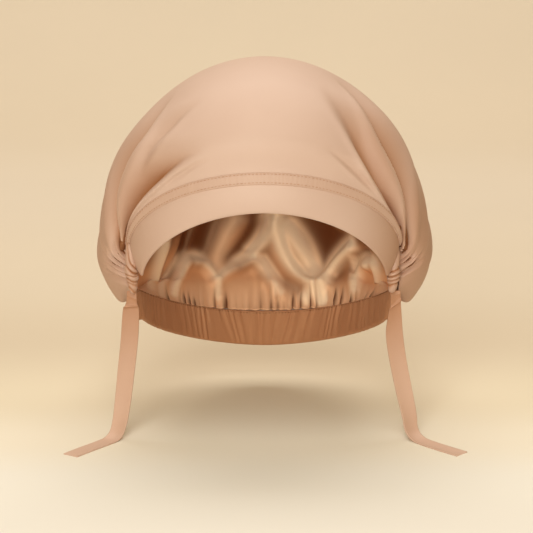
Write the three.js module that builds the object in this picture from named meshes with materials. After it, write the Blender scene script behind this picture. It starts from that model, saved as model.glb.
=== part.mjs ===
// A silk bonnet, open as a head would hold it, with its two ties hanging to the floor.
// Millimetres. +X is to the viewer's right, the face opening looks along -Y, +Z is up.
// The origin lies midway between the two side gathers, which sit just above the ears.

import * as THREE from "three";

// Driving sizes
const GATHER_X = 94; // half the distance between the two side gathers
const GATHER_Y = 2; // how far behind the origin the cloth runs into a gather
const TURN = 0.8; // share of each half row that lies above the widest spot
const CROWN_WALL = 1.2;
const LINING_WALL = 1;
const BAND_WALL = 2;
const NAPE_WALL = 3;
const TIE_WALL = 1;
const TIE_WIDTH = 12;
const GAP = 0.35; // space kept between pieces that are sewn together
const FLOOR_Z = -119.5; // the floor under the tie ends
const LAID_Z = FLOOR_Z + TIE_WALL / 2; // the middle of a ribbon laid on the floor

const SILK = { color: 0xe2bea4, roughness: 0.5, metalness: 0 };
const SATIN = { color: 0xb4835a, roughness: 0.35, metalness: 0 };

// Rows of the crown, each a line of cloth from the left gather over the middle to the right one.
// at: place from the front seam (0) over the top to the nape seam (1); y, z: height of the middle;
// half: widest half width; square: fullness of the curve; pinch: how far above the gather the
// widest spot stays; gatherZ: where the row enters the gather; sag: droop of the side lobes;
// lean: above 1 it holds the sides back, below 1 it brings them forward.
const CROWN_ROWS = [
  { at: 0.0, y: -57, z: 79, half: 95.5, square: 2.06, pinch: 0.03, gatherZ: 17, sag: 0, lean: 1 },
  { at: 0.12, y: -52, z: 106, half: 98, square: 2.06, pinch: 0.08, gatherZ: 13, sag: 0, lean: 1 },
  { at: 0.25, y: -14, z: 136, half: 105, square: 2.0, pinch: 0.13, gatherZ: 9, sag: 0, lean: 1 },
  { at: 0.38, y: 46, z: 146, half: 111, square: 1.98, pinch: 0.17, gatherZ: 5, sag: 2, lean: 1 },
  { at: 0.53, y: 116, z: 121, half: 116, square: 1.97, pinch: 0.22, gatherZ: 2, sag: 6, lean: 1 },
  { at: 0.68, y: 166, z: 66, half: 120, square: 2.0, pinch: 0.28, gatherZ: -2, sag: 14, lean: 1 },
  { at: 0.84, y: 180, z: 0, half: 111, square: 2.1, pinch: 0.28, gatherZ: -6, sag: 18, lean: 1 },
  { at: 0.94, y: 170, z: -44, half: 102, square: 2.15, pinch: 0.22, gatherZ: -9, sag: 13, lean: 0.9 },
  { at: 1.0, y: 150, z: -64, half: 92.5, square: 2.15, pinch: 0.05, gatherZ: -12.5, sag: 0, lean: 0.76 },
];

// The front band hangs from its seam to its lower edge; the nape band from its seam to its hem.
const BAND_SEAM = { y: -60, z: 72.3, half: 94.2, square: 2.05, pinch: 0.02, gatherZ: 13, sag: 0, lean: 1.08 };
const BAND_EDGE = { y: -62, z: 53.6, half: 84.8, square: 1.93, pinch: 0.02, gatherZ: -8, sag: 0, lean: 0.8 };
const NAPE_HEM = { y: 149, z: -89.3, half: 88, square: 1.98, pinch: 0.05, gatherZ: -34, sag: 0, lean: 0.9 };

// Long folds of the crown. side: -1 left, 1 right; from, to: where each starts and ends along the
// row; start, end: its place between the seams; depth and width of the valley, width in shares of
// the way from seam to seam.
const FOLDS = [
  { side: -1, from: 0.34, to: 1.02, start: 0.34, end: 0.235, depth: 8.5, width: 0.034 },
  { side: -1, from: 0.22, to: 0.98, start: 0.125, end: 0.132, depth: 5.5, width: 0.034 },
  { side: -1, from: 0.22, to: 0.56, start: 0.228, end: 0.19, depth: 2.5, width: 0.026 },
  { side: -1, from: 0.78, to: 1.0, start: 0.53, end: 0.4, depth: 4, width: 0.05 },
  { side: -1, from: 0.84, to: 1.0, start: 0.73, end: 0.82, depth: 4, width: 0.05 },
  { side: 1, from: 0.32, to: 1.02, start: 0.32, end: 0.165, depth: 8, width: 0.038 },
  { side: 1, from: 0.26, to: 0.72, start: 0.228, end: 0.045, depth: 4.5, width: 0.032 },
  { side: 1, from: 0.2, to: 0.48, start: 0.1, end: 0.02, depth: 1.8, width: 0.024 },
  { side: 1, from: 0.8, to: 1.0, start: 0.47, end: 0.66, depth: 5, width: 0.055 },
  { side: -1, from: 0.35, to: 0.95, start: 0.62, end: 0.56, depth: 4, width: 0.04 },
  { side: 1, from: 0.3, to: 0.95, start: 0.58, end: 0.55, depth: 4, width: 0.04 },
  { side: -1, from: 0.3, to: 0.9, start: 0.86, end: 0.78, depth: 4, width: 0.045 },
  { side: 1, from: 0.35, to: 0.9, start: 0.8, end: 0.8, depth: 4, width: 0.045 },
];

// Soft billows of the lining above the nape band. across: where the middle of each lies along the
// row; at: its place between the seams; swell toward the head; wide: half width in row shares.
const BILLOWS = [
  { across: -0.46, at: 0.84, swell: 6, wide: 0.13 },
  { across: -0.2, at: 0.8, swell: 8, wide: 0.12 },
  { across: 0.1, at: 0.83, swell: 8, wide: 0.13 },
  { across: 0.4, at: 0.82, swell: 7, wide: 0.12 },
  { across: 0.62, at: 0.85, swell: 5, wide: 0.1 },
];
const BILLOW_REACH = 0.12; // half length of a billow between the seams

const CROWN_STEPS = 24; // cells from the front seam to the nape seam
const ROW_STEPS = 36; // cells from gather to gather
const LINING_INSET = 3; // cells that the lining stops short of each gather
const SEAM_CALM = 0.13; // the folds fade out this close to a seam
const FOLD_PEAK = 0.4; // share of a fold's length where it is deepest
const FOLD_FADE = 0.8; // share of a fold's length where it has run out, near the gather
const PUFF_SHARE = 0.3; // how far the cloth beside a valley puffs up, as a share of the valley
const PUFF_PLACE = 1.9; // where that puff lies, in valley widths from the middle
const TUCKS = { count: 9, depth: 1.6, from: 0.8, full: 0.9, calm: 0.93 }; // the crown's, above the nape seam
const TUCK_SIDES = { calm: 0.7, none: 0.9 }; // the tucks fade out between these places along a row
const BAND_END = 0.75; // the front band and its casing stop here, at the gathers
const BAND_STEPS = 40;
const NAPE_END = 0.93; // the nape band runs on behind the ties
const NAPE_INSET = 1.7; // the nape band sits inside the crown's lower lobes
const PLEATS = 42; // pleats of the nape band
const PLEAT_DEPTH = 1.3;
const PLEAT_CALM = 0.45; // share by which the pleats are shallower at the hem
const CASING_BULGE = 0.7;
const BAND_BULGE = 1.2;
const SEWN = { casingTop: 0.07, casingFoot: 0.93, bandTop: 0.98, napeHem: 0.97 }; // shares of each strip

// The gathers: small ruched bunches, taller than wide. tip leans each bunch in the front plane.
const GATHERS = [
  { name: "gather_left", x: -94.2, y: -4.4, z: 0, wide: 4.8, deep: 5.2, tall: 12.6, ridges: 5, tip: -0.2 },
  { name: "gather_right", x: 93, y: -4.4, z: -0.8, wide: 4.8, deep: 5.2, tall: 11.8, ridges: 4, tip: 0.2 },
];
const RIDGE_DEPTH = 0.13; // share of the bunch's thickness that its folds take
const RIDGE_SLANT = 0.24; // how much the folds slant across the bunch

// Routes of the ties, a row per bend: the middle of the ribbon, its width as a share of the
// ribbon's own, and the direction of its width in degrees from +X, turned about the vertical.
const TIES = [
  {
    name: "tie_left",
    rows: [
      { x: -92.6, y: -4.5, z: -12.6, share: 0.52, yaw: 0 },
      { x: -92.9, y: -4.5, z: -21, share: 0.62, yaw: 0 },
      { x: -93.4, y: -4.2, z: -27, share: 0.93, yaw: 0 },
      { x: -94.9, y: -3.2, z: -48, share: 1, yaw: -3 },
      { x: -97.7, y: -2.6, z: -71.7, share: 1, yaw: -8 },
      { x: -101, y: -2, z: -98, share: 1, yaw: -22 },
      { x: -103.8, y: -3.2, z: -112.5, share: 1, yaw: -32 },
      { x: -107.4, y: -8.6, z: -118.2, share: 1, yaw: -34 },
      { x: -113.5, y: -17.6, z: LAID_Z, share: 1, yaw: -34 },
      { x: -123.6, y: -31.6, z: LAID_Z, share: 1, yaw: -34 },
      { x: -133.6, y: -46, z: LAID_Z, share: 1, yaw: -34 },
    ],
  },
  {
    name: "tie_right",
    rows: [
      { x: 91.4, y: -4.5, z: -12.4, share: 0.58, yaw: 8 },
      { x: 91.8, y: -4.5, z: -21, share: 0.6, yaw: 14 },
      { x: 91.4, y: -4.2, z: -30, share: 0.78, yaw: 10 },
      { x: 91.2, y: -3.4, z: -44, share: 0.98, yaw: 2 },
      { x: 93.8, y: -2.6, z: -62, share: 1, yaw: 6 },
      { x: 98.4, y: -2, z: -84, share: 1, yaw: 14 },
      { x: 102.6, y: -2, z: -103, share: 1, yaw: 30 },
      { x: 104.4, y: -4, z: -113.4, share: 1, yaw: 40 },
      { x: 108.8, y: -10.4, z: -118.3, share: 1, yaw: 44 },
      { x: 117.4, y: -21.6, z: LAID_Z, share: 1, yaw: 46 },
      { x: 127.4, y: -33.2, z: LAID_Z, share: 1, yaw: 47 },
      { x: 136.2, y: -43, z: LAID_Z, share: 1, yaw: 48 },
    ],
  },
];
const TIE_STEPS = 34;

// A smooth value of one column of a table, by its "at" column (a cubic through the rows).
function column(rows, key, at) {
  const last = rows.length - 1;
  let i = 0;
  while (i < last - 1 && at > rows[i + 1].at) i += 1;
  const rise = (a, b) => (rows[b][key] - rows[a][key]) / (rows[b].at - rows[a].at);
  const slope = (j) => {
    if (j === 0) return rise(0, 1);
    if (j === last) return rise(last - 1, last);
    const before = rows[j].at - rows[j - 1].at;
    const after = rows[j + 1].at - rows[j].at;
    return (rise(j - 1, j) * after + rise(j, j + 1) * before) / (before + after);
  };
  const span = rows[i + 1].at - rows[i].at;
  const t = (at - rows[i].at) / span;
  return (
    (1 + 2 * t) * (1 - t) ** 2 * rows[i][key] +
    t * (1 - t) ** 2 * span * slope(i) +
    t * t * (3 - 2 * t) * rows[i + 1][key] +
    t * t * (t - 1) * span * slope(i + 1)
  );
}

function mixedRow(rows, at) {
  const keys = Object.keys(rows[0]);
  return Object.fromEntries(keys.map((key) => [key, column(rows, key, at)]));
}

// A point of one row. across runs from -1 at the left gather over the middle to 1 at the right.
// Up to TURN the row rises as a flattened arc; past it, it curls under into the gather.
function arch(row, across) {
  const way = Math.abs(across);
  const side = Math.sign(across);
  const upper = way < TURN;
  const angle = upper
    ? ((way / TURN) * Math.PI) / 2
    : Math.PI / 2 + (((way - TURN) / (1 - TURN)) * Math.PI) / 2;
  const sine = Math.abs(Math.sin(angle));
  const cosine = Math.abs(Math.cos(angle));
  const reach = upper
    ? row.pinch + (1 - row.pinch) * cosine ** (2 / row.square)
    : row.pinch * (1 - cosine);
  const x = upper ? row.half * sine ** (2 / row.square) : GATHER_X + (row.half - GATHER_X) * sine;
  return new THREE.Vector3(
    side * x,
    GATHER_Y + (row.y - GATHER_Y) * reach ** row.lean,
    row.gatherZ + (row.z - row.gatherZ) * reach - row.sag * sine ** 3,
  );
}

const smooth = (low, high, value) => THREE.MathUtils.smoothstep(value, low, high);

// How deep the folds press the crown in at one spot, with the cloth puffed up beside each.
function foldDepth(at, across) {
  let depth = 0;
  for (const fold of FOLDS) {
    if (fold.side * across < fold.from) continue;
    const t = Math.min(1, (Math.abs(across) - fold.from) / (fold.to - fold.from));
    const middle = fold.end + (fold.start - fold.end) * (1 - t) ** 2;
    const off = Math.abs(at - middle) / fold.width;
    const strength = smooth(0, FOLD_PEAK, t) * (1 - smooth(FOLD_PEAK, FOLD_FADE, t));
    const valley = Math.exp(-off * off);
    const puff = PUFF_SHARE * Math.exp(-((off - PUFF_PLACE) ** 2));
    depth += fold.depth * strength * (valley - puff);
  }
  const seams = smooth(0, SEAM_CALM, at) * (1 - smooth(1 - SEAM_CALM, 1, at));
  const tuckAlong = smooth(TUCKS.from, TUCKS.full, at) * (1 - smooth(TUCKS.calm, 1, at));
  const tuckBeside = 1 - smooth(TUCK_SIDES.calm, TUCK_SIDES.none, Math.abs(across));
  const tuck = TUCKS.depth * Math.cos(Math.PI * TUCKS.count * across);
  return depth * seams + tuck * tuckAlong * tuckBeside;
}

function billow(at, across) {
  let swell = 0;
  for (const form of BILLOWS) {
    const beside = (across - form.across) / form.wide;
    const along = (at - form.at) / BILLOW_REACH;
    swell += form.swell * Math.exp(-beside * beside - along * along);
  }
  return swell;
}

// A grid of points: one list of points for each place between the seams.
function grid(rows, columns, point) {
  return Array.from({ length: rows + 1 }, (_, i) =>
    Array.from({ length: columns + 1 }, (_, j) => point(i / rows, j / columns)),
  );
}

// The outward direction at each point of a grid, from its neighbours.
function outward(points) {
  const last = points.length - 1;
  const end = points[0].length - 1;
  return points.map((row, i) =>
    row.map((_, j) => {
      const along = points[Math.min(i + 1, last)][j].clone().sub(points[Math.max(i - 1, 0)][j]);
      const across = points[i][Math.min(j + 1, end)].clone().sub(points[i][Math.max(j - 1, 0)]);
      return across.cross(along).normalize();
    }),
  );
}

// The same grid moved inward. depth is a distance, or a function of the row and column shares.
function inward(points, normals, depth) {
  const rows = points.length - 1;
  const columns = points[0].length - 1;
  const far = typeof depth === "function" ? depth : () => depth;
  return points.map((row, i) =>
    row.map((p, j) => p.clone().addScaledVector(normals[i][j], -far(i / rows, j / columns))),
  );
}

// A closed wall between an outer and an inner grid, with rims around its four sides.
function wall(outer, inner) {
  const rows = outer.length;
  const columns = outer[0].length;
  const positions = [...outer.flat(), ...inner.flat()].flatMap((p) => p.toArray());
  const faces = [];
  const quad = (a, b, c, d) => faces.push(a, b, c, a, c, d);
  const out = (i, j) => i * columns + j;
  const back = (i, j) => rows * columns + i * columns + j;
  for (let i = 0; i + 1 < rows; i += 1) {
    for (let j = 0; j + 1 < columns; j += 1) {
      quad(out(i, j), out(i, j + 1), out(i + 1, j + 1), out(i + 1, j));
      quad(back(i, j), back(i + 1, j), back(i + 1, j + 1), back(i, j + 1));
    }
    quad(out(i, 0), out(i + 1, 0), back(i + 1, 0), back(i, 0));
    quad(out(i, columns - 1), back(i, columns - 1), back(i + 1, columns - 1), out(i + 1, columns - 1));
  }
  for (let j = 0; j + 1 < columns; j += 1) {
    quad(out(0, j), back(0, j), back(0, j + 1), out(0, j + 1));
    quad(out(rows - 1, j), out(rows - 1, j + 1), back(rows - 1, j + 1), back(rows - 1, j));
  }
  return new THREE.BufferGeometry()
    .setAttribute("position", new THREE.Float32BufferAttribute(positions, 3))
    .setIndex(faces);
}

function piece(name, geometry, finish) {
  geometry.computeVertexNormals();
  const mesh = new THREE.Mesh(geometry, new THREE.MeshStandardMaterial(finish));
  mesh.name = name;
  return mesh;
}

// The crown and its lining share one folded surface, so that they nest without touching.
function crownSurface() {
  const smoothSurface = grid(CROWN_STEPS, ROW_STEPS, (u, v) =>
    arch(mixedRow(CROWN_ROWS, u), 2 * v - 1),
  );
  const folded = inward(smoothSurface, outward(smoothSurface), (u, v) => foldDepth(u, 2 * v - 1));
  return { points: folded, normals: outward(folded) };
}

function crown(surface) {
  const inner = inward(surface.points, surface.normals, CROWN_WALL);
  return piece("crown", wall(surface.points, inner), SILK);
}

function lining(surface) {
  const layer = (depth) =>
    inward(surface.points, surface.normals, (u, v) => depth + billow(u, 2 * v - 1)).map((row) =>
      row.slice(LINING_INSET, -LINING_INSET),
    );
  const start = CROWN_WALL + GAP;
  return piece("lining", wall(layer(start), layer(start + LINING_WALL)), SATIN);
}

// A strip between two rows, from start to end of the way between them.
function strip(upper, lower, start, end, rows, columns, reach, bulge) {
  const points = grid(rows, columns, (u, v) => {
    const across = reach * (2 * v - 1);
    return arch(lower, across).lerp(arch(upper, across), start + (end - start) * u);
  });
  return inward(points, outward(points), (u) => -bulge * Math.sin(Math.PI * u));
}

function frontCasing() {
  const { casingTop, casingFoot } = SEWN;
  const outer = strip(CROWN_ROWS[0], BAND_SEAM, casingTop, casingFoot, 2, BAND_STEPS, BAND_END, CASING_BULGE);
  return piece("front_casing", wall(outer, inward(outer, outward(outer), BAND_WALL)), SILK);
}

function frontBand() {
  const outer = strip(BAND_SEAM, BAND_EDGE, 0, SEWN.bandTop, 3, BAND_STEPS, BAND_END, BAND_BULGE);
  return piece("front_band", wall(outer, inward(outer, outward(outer), BAND_WALL)), SILK);
}

// The nape band: an elastic casing, drawn into small pleats.
function napeBand() {
  const crownFoot = CROWN_ROWS.at(-1);
  const top = { ...crownFoot, z: crownFoot.z - GAP };
  const plain = strip(NAPE_HEM, top, 0, SEWN.napeHem, 2, PLEATS * 3, NAPE_END, 0);
  const wave = (v) => PLEAT_DEPTH * Math.sin(2 * Math.PI * PLEATS * v);
  const pleat = (u, v) => NAPE_INSET + wave(v) * (1 - PLEAT_CALM * u);
  const outer = inward(plain, outward(plain), pleat);
  return piece("nape_band", wall(outer, inward(outer, outward(plain), NAPE_WALL)), SATIN);
}

// A ruched bunch of cloth: an egg-shaped ball with folds that run around it.
function gatherBunch({ name, x, y, z, wide, deep, tall, ridges, tip }) {
  const geometry = new THREE.SphereGeometry(1, 16, 16);
  const position = geometry.getAttribute("position");
  const spot = new THREE.Vector3();
  for (let i = 0; i < position.count; i += 1) {
    spot.fromBufferAttribute(position, i);
    const place = Math.PI * ridges * (spot.y + spot.x * RIDGE_SLANT);
    const fold = 1 - RIDGE_DEPTH * 0.5 * (1 - Math.cos(place));
    position.setXYZ(i, spot.x * wide * fold, spot.y * tall, spot.z * deep * fold);
  }
  const mesh = piece(name, geometry, SILK);
  mesh.rotation.set(Math.PI / 2, 0, tip, "YXZ");
  mesh.position.set(x, y, z);
  return mesh;
}

// A ribbon along its table of bends, of even thickness.
function ribbon({ name, rows }) {
  const route = rows.map((row, i) => ({ ...row, at: i / (rows.length - 1) }));
  const layer = (lift) =>
    grid(TIE_STEPS, 2, (u, v) => {
      const row = mixedRow(route, u);
      const turn = THREE.MathUtils.degToRad(row.yaw);
      const widthWay = new THREE.Vector3(Math.cos(turn), Math.sin(turn), 0);
      const ahead = mixedRow(route, Math.min(1, u + 0.01));
      const behind = mixedRow(route, Math.max(0, u - 0.01));
      const along = new THREE.Vector3(ahead.x - behind.x, ahead.y - behind.y, ahead.z - behind.z);
      const faceWay = new THREE.Vector3().crossVectors(along, widthWay).normalize();
      return new THREE.Vector3(row.x, row.y, row.z)
        .addScaledVector(widthWay, (v - 0.5) * TIE_WIDTH * row.share)
        .addScaledVector(faceWay, -lift * TIE_WALL);
    });
  return piece(name, wall(layer(0.5), layer(-0.5)), SILK);
}

const bonnet = new THREE.Group();
const surface = crownSurface();
bonnet.add(crown(surface), lining(surface), frontCasing(), frontBand(), napeBand());
bonnet.add(...GATHERS.map(gatherBunch), ...TIES.map(ribbon));

export default bonnet;
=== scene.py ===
# A silk bonnet, open as a head would hold it, on a pale studio floor.
# Lengths are millimetres up to the point where a mesh is made; Blender's own are metres.
import math

import bmesh
import bpy
import numpy as np
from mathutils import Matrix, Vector


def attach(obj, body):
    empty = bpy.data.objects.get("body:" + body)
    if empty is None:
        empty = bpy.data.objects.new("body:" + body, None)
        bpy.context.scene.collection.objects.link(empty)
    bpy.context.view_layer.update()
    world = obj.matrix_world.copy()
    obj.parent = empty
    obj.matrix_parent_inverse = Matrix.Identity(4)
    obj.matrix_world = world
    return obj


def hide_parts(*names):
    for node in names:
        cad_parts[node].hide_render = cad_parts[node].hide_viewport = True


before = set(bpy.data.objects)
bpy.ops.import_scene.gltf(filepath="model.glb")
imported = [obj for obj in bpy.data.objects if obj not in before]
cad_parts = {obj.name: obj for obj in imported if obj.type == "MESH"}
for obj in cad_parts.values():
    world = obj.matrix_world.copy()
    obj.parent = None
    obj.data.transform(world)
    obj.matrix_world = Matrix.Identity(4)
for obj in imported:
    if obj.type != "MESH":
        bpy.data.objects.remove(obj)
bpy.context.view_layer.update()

MM = 0.001

# The studio, in metres but for the floor's height
FLOOR_Z = -119.5
STAGE_HALF = 9.0
SWEEP_RADIUS = 1.0
SWEEP_STEPS = 24
WALL_Y = 2.4
WALL_TOP = 4.0
PAPER_MOTTLE = 0.06

# The side gathers, where each row of the crown ends, and the share of a row above its turn
GATHER_X = 94.0
GATHER_Y = 2.0
TURN = 0.8

# The crown: its mesh, wall and tucks, how its folds press in, how deep the painted shade in their cores
# and on the bag's sides is, and the painted highlight on their lips
CROWN_GRID = (200, 240)
CROWN_EASE = 0.4
CROWN_WALL = 0.9
CROWN_TUCK = 1.5
CROWN_TUCKS = dict(count=22, reach=0.07, seed=11)
SEAM_CALM = 0.045
PUFF_SHARE = 0.25
ROOM_SHARE = 2.0
LIP_HIGHLIGHT_LAP = 7.0
FOLD_SHADE_DEPTH = 16.0
FOLD_SHADE_LIMIT = 1.3
FOLD_SHADE_TRAIL = 1.15
SIDE_SHADE = (0.34, 0.50)
GATHER_SHADE_CUT = 0.6

# The lining: its mesh, wall and tucks, and how far it stands off the crown
LINING_GRID = (210, 220)
LINING_REACH = 0.985
LINING_EASE = 0.72
LINING_WALL = 0.5
LINING_INSET = 2.2
LINING_ROOM = 5.0
LINING_FOOT = (0.945, 1.0)
LINING_SOFT = 2.0
LINING_TUCK = 3.6
LINING_TUCKS = dict(count=30, reach=0.05, seed=31)
ROW_SCALE = 185.0
SWEEP_SCALE = 480.0
WAVE_STEPS = 28
BLEND_POWER = 3

# The satin's painted light: painted shade in its valleys, high in the bag and in tucks; painted highlights
# on crests and near the seam
VALLEY_SHADE_SPREAD = 1.3
VALLEY_SHADE_FULL = 4.5
HIGH_SHADE = 0.85
HIGH_SHADE_AT = (0.82, 0.88)
TUCK_SHADE = 2.8
TUCK_SHADE_FROM = 0.3
HIGHLIGHT_FULL = 6.0
HIGHLIGHT_RISE = 0.009
HIGHLIGHT_FADE = 0.6
HIGHLIGHT_SIDE = (0.5, 0.6)
SEAM_HIGHLIGHT = 0.3
SEAM_HIGHLIGHT_AT = (0.92, 0.985)

# The front band with painted shade toward its ends, and its casing
BAND_WALL = 2.0
BAND_BULGE = 1.2
BAND_END = 0.75
BAND_CORNER = 0.012
BAND_END_SHADE = (0.22, 0.52)
CASING_WALL = 1.4
CASING_RAISE = 0.5
CASING_LIFT = 0.35
CASING_PUCKERS = 52
CASING_PUCKER = 0.12

# The nape band
NAPE_WALL = 2.6
NAPE_INSET = 1.0
NAPE_END = 0.93
NAPE_PLEAT = 1.3
NAPE_PLEATS = dict(pleats=46.0, calm=0.45, seed=7)
RIM_STEPS = 6

# The bunches: their mesh, their painted shade, and how they reach back, up and down
BUNCH_GRID = (130, 121)
BUNCH_SHADE = 0.35
BUNCH_BACK = 2.3
BUNCH_LEAN = 3.0
BUNCH_TOP = 11.0
BUNCH_FOOT = 3.5

# The ties, with painted shade on their upper parts
TIE_GRID = (260, 25)
TIE_WALL = 0.8
TIE_WIDTH = 12.0
TIE_CURL = 0.7
TIE_TOP_SHADE = 0.8

# The stitches
STITCH_STEP = 2.5
STITCH_LENGTH = 1.7
STITCH_THREAD = 0.4


def table(names, *rows):
    """A table with named columns, one dictionary for each row."""
    keys = names.split()
    return [dict(zip(keys, row)) for row in rows]


# The rows of the crown, from the front seam over the top to the nape seam
ROW_NAMES = "at y z half square pinch gather_z sag lean"
CROWN_ROWS = table(
    ROW_NAMES,
    (0.00, -57, 79, 95.5, 2.06, 0.03, 17, 0, 1),
    (0.12, -52, 106, 98, 2.06, 0.08, 13, 0, 1),
    (0.25, -14, 136, 105, 2.0, 0.13, 9, 0, 1),
    (0.38, 46, 146, 112, 1.98, 0.17, 5, 2, 1),
    (0.53, 116, 121, 117.5, 1.97, 0.22, 2, 6, 1),
    (0.68, 166, 66, 120, 2.0, 0.28, -2, 14, 1),
    (0.84, 180, 0, 111, 2.1, 0.28, -8, 18, 1),
    (0.94, 170, -44, 102, 2.15, 0.22, -12, 13, 0.9),
    (1.00, 150, -64, 92.5, 2.15, 0.05, -15.5, 0, 0.76),
)
BAND_SEAM = dict(y=-60, z=72.3, half=94.2, square=2.05, pinch=0.02, gather_z=13, sag=0, lean=1.08)
BAND_EDGE = dict(y=-62, z=53.6, half=86.4, square=1.93, pinch=0.02, gather_z=-8, sag=0, lean=0.8)
NAPE_TOP = dict(CROWN_ROWS[-1], z=CROWN_ROWS[-1]["z"] - 0.1)
NAPE_HEM = dict(y=149, z=-89.3, half=88, square=1.98, pinch=0.05, gather_z=-34, sag=0, lean=0.9)

# The crown's long folds, each from its faint start to its end at a side gather. a to e: its
# place in the sweep at five even steps. front and back: how wide it is toward either seam.
# lap: how far the cloth in front rolls over it.
CROWN_FOLDS = table(
    "start end a b c d e depth front back lap rise fall",
    (-0.30, -1.0, 0.325, 0.250, 0.232, 0.165, 0.140, 26, 0.014, 0.068, 6, 0.40, 0.08),
    (-0.20, -1.0, 0.100, 0.098, 0.112, 0.090, 0.070, 20, 0.044, 0.056, 0, 0.40, 0.12),
    (-0.20, -0.62, 0.232, 0.218, 0.200, 0.188, 0.180, 3.0, 0.020, 0.026, 0, 0.4, 0.4),
    (-0.18, -0.46, 0.062, 0.055, 0.044, 0.034, 0.020, 1.3, 0.014, 0.016, 0, 0.4, 0.4),
    (-0.84, -1.0, 0.350, 0.370, 0.380, 0.400, 0.460, 6, 0.030, 0.040, 1, 0.6, 0.02),
    (-0.86, -1.0, 0.650, 0.690, 0.740, 0.800, 0.860, 2.5, 0.040, 0.040, 0, 0.5, 0.02),
    (-0.80, -1.0, 0.255, 0.262, 0.275, 0.290, 0.320, 2.8, 0.020, 0.030, 0, 0.5, 0.02),
    (-0.84, -1.0, 0.500, 0.515, 0.530, 0.560, 0.620, 3, 0.030, 0.035, 0, 0.5, 0.02),
    (0.22, 1.0, 0.345, 0.246, 0.178, 0.100, 0.080, 30, 0.012, 0.062, 7, 0.40, 0.08),
    (0.18, 0.78, 0.260, 0.200, 0.135, 0.062, 0.000, 12, 0.068, 0.056, 0, 0.40, 0.3),
    (0.20, 0.52, 0.105, 0.084, 0.062, 0.036, 0.010, 1.8, 0.016, 0.020, 0, 0.4, 0.4),
    (-0.88, -1.0, 0.300, 0.310, 0.325, 0.350, 0.380, 2.1, 0.015, 0.022, 0, 0.5, 0.02),
    (-0.86, -1.0, 0.430, 0.440, 0.455, 0.490, 0.540, 2.1, 0.018, 0.025, 0, 0.5, 0.02),
    (-0.88, -1.0, 0.580, 0.600, 0.630, 0.670, 0.720, 2, 0.020, 0.024, 0, 0.5, 0.02),
    (0.85, 1.0, 0.470, 0.460, 0.490, 0.560, 0.680, 5, 0.040, 0.050, 0, 0.6, 0.02),
    (0.88, 1.0, 0.380, 0.385, 0.400, 0.430, 0.480, 2.1, 0.015, 0.022, 0, 0.5, 0.02),
    (0.87, 1.0, 0.540, 0.550, 0.575, 0.620, 0.700, 2.1, 0.022, 0.027, 0, 0.5, 0.02),
    (0.88, 1.0, 0.230, 0.240, 0.255, 0.275, 0.310, 2.1, 0.013, 0.020, 0, 0.5, 0.02),
    (0.86, 1.0, 0.300, 0.315, 0.330, 0.360, 0.420, 3, 0.025, 0.030, 0, 0.6, 0.02),
    (-0.26, -0.92, 0.640, 0.600, 0.560, 0.545, 0.550, 5, 0.030, 0.050, 2, 0.4, 0.4),
    (-0.30, -0.86, 0.860, 0.835, 0.810, 0.780, 0.760, 6, 0.026, 0.050, 1, 0.4, 0.4),
    (0.28, 0.92, 0.575, 0.550, 0.525, 0.515, 0.540, 3.5, 0.030, 0.050, 2, 0.4, 0.4),
    (0.34, 0.90, 0.720, 0.705, 0.690, 0.680, 0.680, 3.5, 0.024, 0.045, 1, 0.4, 0.4),
    (0.26, 0.82, 0.840, 0.832, 0.822, 0.815, 0.815, 6, 0.026, 0.050, 1, 0.4, 0.4),
)

# The soft waves of the lining, each along a curve over three places of the sweep. Ridges stand
# toward the face: the first five run round two puffs over the nape seam, the next ones come
# down from the crown, the last ones run round the puffs at the right and up at the left.
WAVE_NAMES = "from_across from_at mid_across mid_at to_across to_at height width"
LINING_RIDGES = table(
    WAVE_NAMES,
    (-0.416, 0.987, -0.344, 0.906, -0.270, 0.899, 5.2, 5.5),
    (-0.270, 0.899, -0.230, 0.914, -0.194, 0.953, 5.2, 5.0),
    (-0.194, 0.953, -0.130, 0.924, -0.048, 0.904, 5.2, 5.5),
    (-0.048, 0.904, -0.002, 0.920, 0.052, 0.978, 5.2, 5.5),
    (-0.192, 0.947, -0.194, 0.968, -0.196, 0.988, 5.0, 4.5),
    (-0.100, 0.835, -0.152, 0.873, -0.188, 0.934, 2.5, 7.0),
    (0.040, 0.815, 0.012, 0.859, -0.042, 0.892, 6.0, 5.0),
    (0.036, 0.833, 0.086, 0.907, 0.194, 0.957, 7.0, 7.0),
    (0.194, 0.957, 0.204, 0.971, 0.168, 0.989, 6.3, 7.8),
    (0.078, 0.847, 0.170, 0.911, 0.242, 0.961, 5.4, 7.8),
    (0.242, 0.961, 0.272, 0.913, 0.364, 0.854, 9.0, 5.8),
    (0.242, 0.961, 0.236, 0.977, 0.244, 0.994, 9.0, 5.8),
    (0.370, 0.855, 0.380, 0.921, 0.396, 1.000, 3.6, 3.9),
    (0.412, 0.979, 0.416, 0.895, 0.476, 0.869, 5.4, 5.9),
    (0.476, 0.869, 0.538, 0.871, 0.564, 0.964, 5.4, 5.9),
    (-0.430, 0.827, -0.500, 0.871, -0.558, 0.978, 5.4, 7.2),
    (-0.494, 0.995, -0.454, 0.933, -0.370, 0.888, 3.6, 5.9),
)
LINING_VALLEYS = table(
    WAVE_NAMES,
    (-0.290, 0.822, -0.344, 0.870, -0.440, 0.915, 6.0, 5.0),
    (-0.196, 0.816, -0.222, 0.842, -0.262, 0.880, 7.0, 8.5),
    (-0.008, 0.820, -0.036, 0.864, -0.100, 0.898, 7.0, 8.5),
    (0.124, 0.832, 0.214, 0.861, 0.218, 0.906, 7.0, 17.0),
    (0.324, 0.849, 0.266, 0.875, 0.218, 0.906, 5.0, 10.0),
    (0.454, 0.845, 0.408, 0.868, 0.378, 0.904, 5.0, 5.0),
    (-0.008, 0.860, 0.020, 0.926, 0.136, 0.961, 3.0, 6.0),
)

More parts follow.
